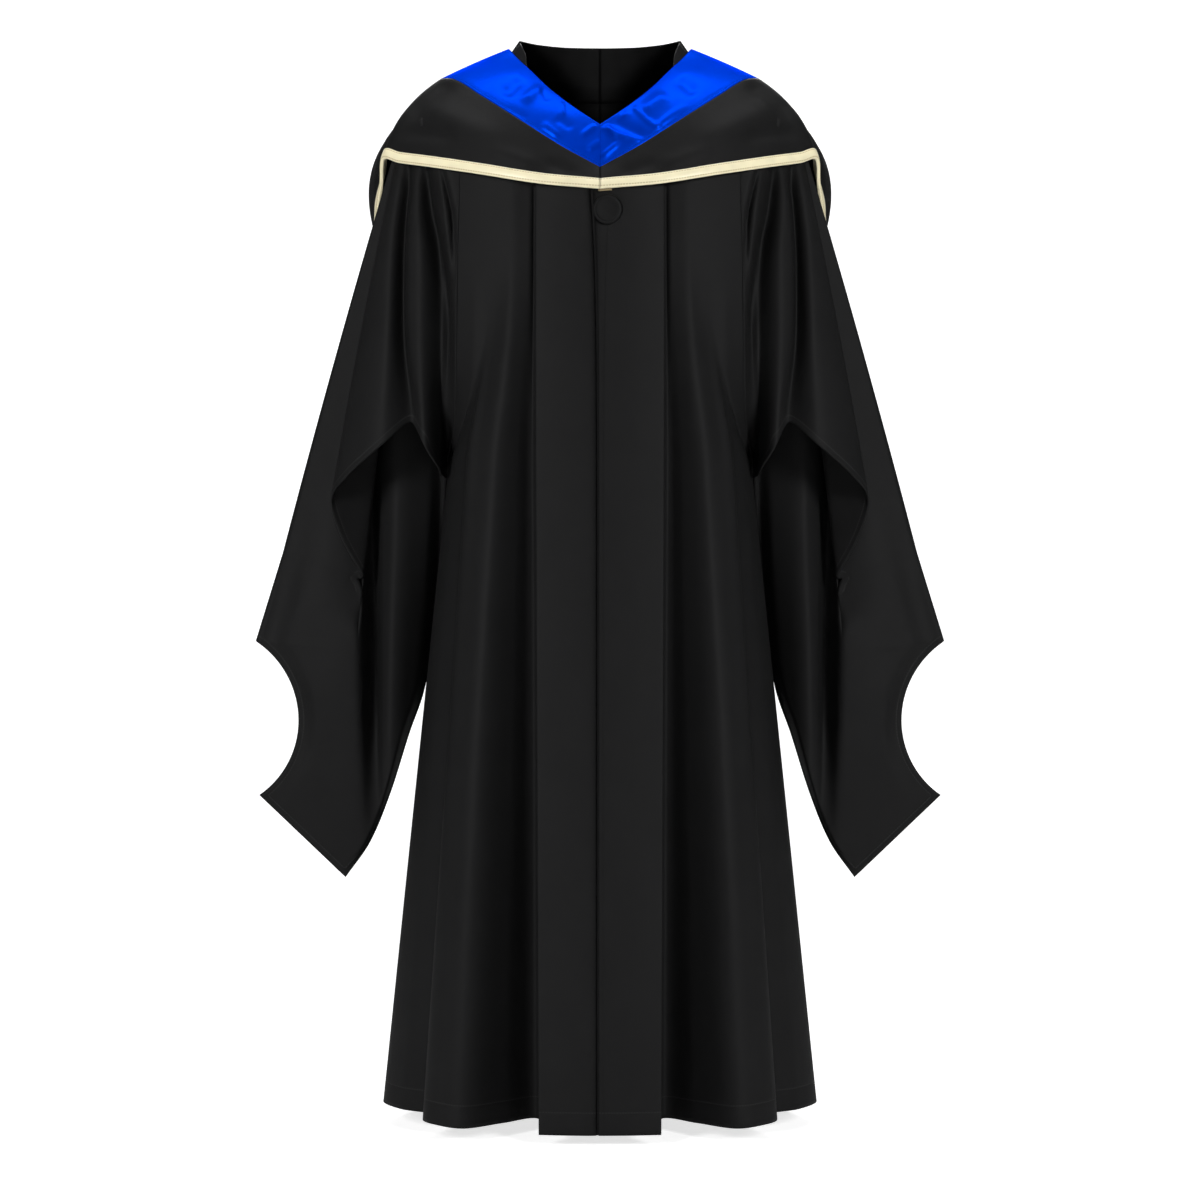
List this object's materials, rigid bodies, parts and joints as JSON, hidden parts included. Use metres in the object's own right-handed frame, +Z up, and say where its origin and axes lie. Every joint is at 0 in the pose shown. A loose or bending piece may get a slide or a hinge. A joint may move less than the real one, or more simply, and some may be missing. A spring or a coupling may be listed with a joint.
{
  "type": "graduation gown",
  "caption": "Black graduation gown hanging open at hem and neck, with long closed sleeves slit at the elbow and a hood with a satin neckband and ribbon edge.",
  "frame": {"origin": "midway between the wearer's shoulders, just below the top of the shoulder ridge, where the gown is held up", "axes": "+Z up, the front faces -Y, +X is the gown's left side as worn and the viewer's right"},
  "size_m": [0.7588, 0.3505, 1.1803],
  "materials": {
    "black_cloth": "matt black twill cloth",
    "blue_satin": "royal blue satin",
    "cream_ribbon": "cream satin ribbon",
    "loop_cloth": "plain braid"
  },
  "bodies": {
    "root": {"front_right": "black_cloth", "front_left": "black_cloth", "yoke_right": "black_cloth", "yoke_left": "black_cloth", "back_right": "black_cloth", "back_left": "black_cloth", "sleeve_front_right": "black_cloth", "sleeve_front_left": "black_cloth", "sleeve_back_right": "black_cloth", "sleeve_back_left": "black_cloth", "hood_band_right": "blue_satin", "hood_band_left": "blue_satin", "hood_cape_right": "black_cloth", "hood_cape_left": "black_cloth", "hood_ribbon_right": "cream_ribbon", "hood_ribbon_left": "cream_ribbon", "band_right": "black_cloth", "band_left": "black_cloth", "button": "black_cloth", "hood_loop": "loop_cloth"}
  },
  "joints": []
}
